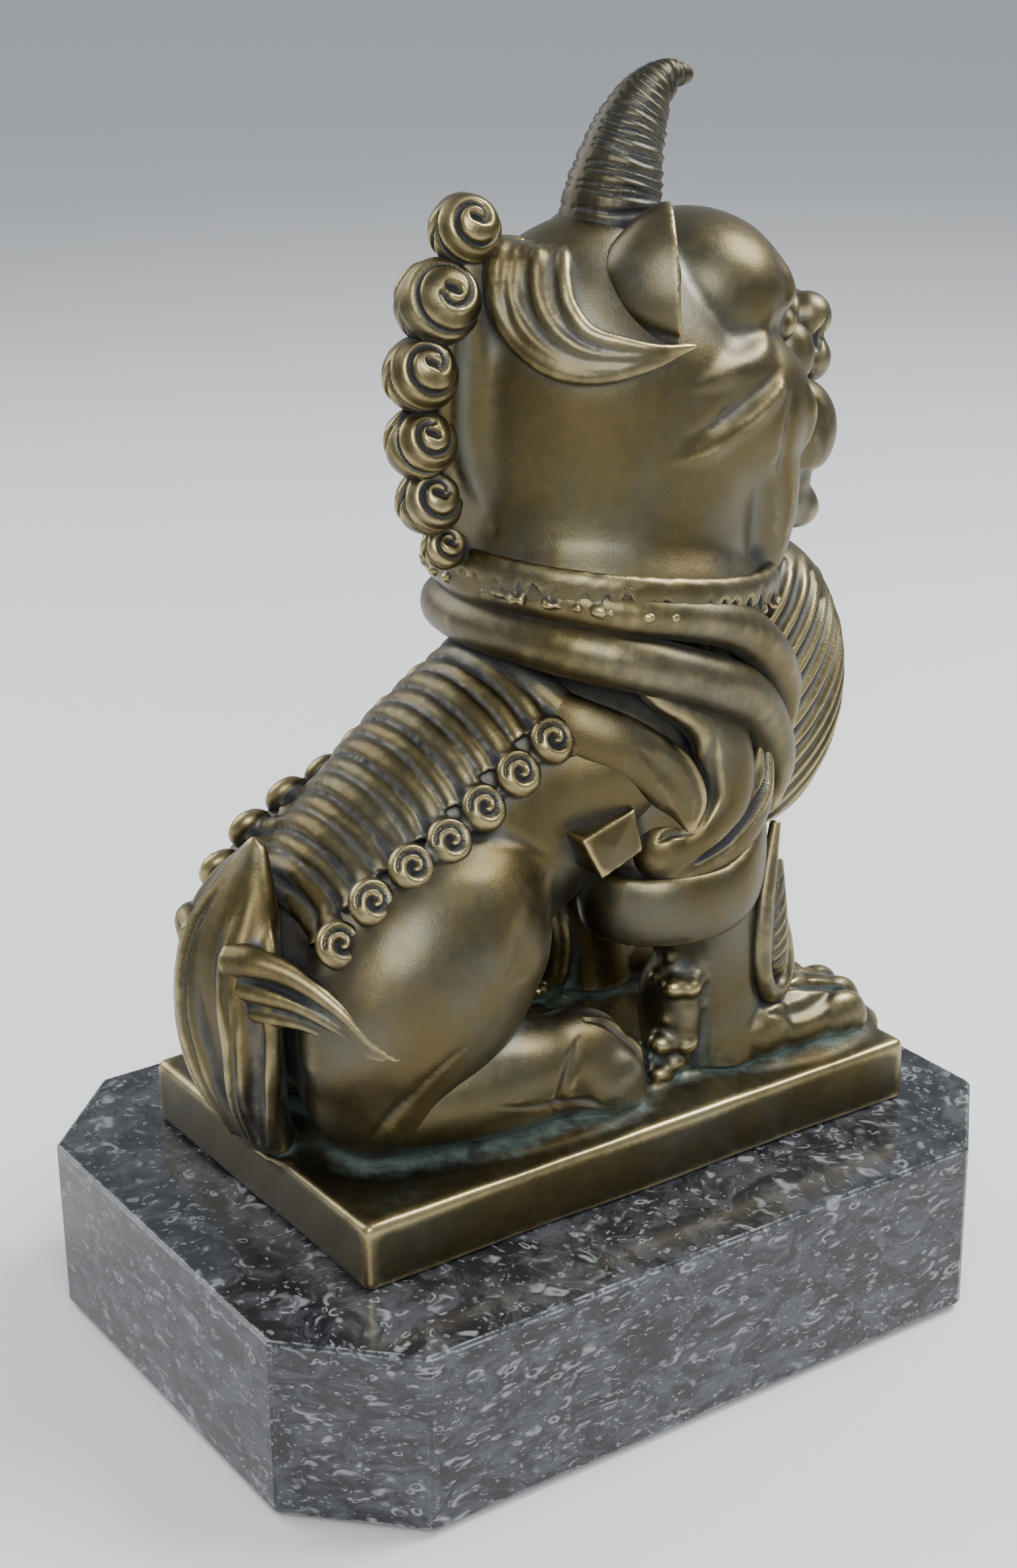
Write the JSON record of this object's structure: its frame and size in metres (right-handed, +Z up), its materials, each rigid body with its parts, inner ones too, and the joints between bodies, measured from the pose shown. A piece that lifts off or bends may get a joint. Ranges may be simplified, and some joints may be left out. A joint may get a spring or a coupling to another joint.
{
  "type": "guardian beast statue",
  "caption": "Seated horned guardian beast cast in bronze, on a cut-corner stone plinth; a shelf or desk ornament.",
  "frame": {"origin": "middle of the plinth's underside, on the surface it stands on", "axes": "+X to the beast's left, -Y to its front, +Z up"},
  "size_m": [0.106, 0.14, 0.203],
  "materials": {
    "bronze": "satin brown patina, rubbed bright on the edges",
    "marble": "polished black fossil marble",
    "felt": "black felt",
    "steel": "plain zinc plated"
  },
  "bodies": {
    "root": {"bronze_ground_plate": "bronze", "chest_bib": "bronze", "felt_pad": "felt", "head": "bronze", "horn": "bronze", "left_brow": "bronze", "left_ear": "bronze", "left_elbow_scroll": "bronze", "left_foreleg": "bronze", "left_forepaw": "bronze", "left_hair_sweep": "bronze", "left_haunch": "bronze", "left_hind_foot": "bronze", "left_leg_band": "bronze", "left_leg_tassel": "bronze", "left_shoulder_drape": "bronze", "left_side_tag": "bronze", "left_spine_scrolls": "bronze", "left_tail_lock": "bronze", "lower_collar_roll": "bronze", "lower_jaw": "bronze", "mane_curl_1": "bronze", "mane_curl_2": "bronze", "mane_curl_3": "bronze", "mane_curl_4": "bronze", "mane_curl_5": "bronze", "mane_curl_6": "bronze", "mane_ridge": "bronze", "marble_plinth": "marble", "mounting_studs": "steel", "neck": "bronze", "neck_frill": "bronze", "nose": "bronze", "right_brow": "bronze", "right_ear": "bronze", "right_elbow_scroll": "bronze", "right_foreleg": "bronze", "right_forepaw": "bronze", "right_hair_sweep": "bronze", "right_haunch": "bronze", "right_hind_foot": "bronze", "right_leg_band": "bronze", "right_leg_tassel": "bronze", "right_shoulder_drape": "bronze", "right_side_tag": "bronze", "right_spine_scrolls": "bronze", "right_tail_lock": "bronze", "spine_strips": "bronze", "stud_nuts": "steel", "stud_washers": "steel", "tail": "bronze", "torso": "bronze", "upper_collar_roll": "bronze"}
  },
  "joints": []
}
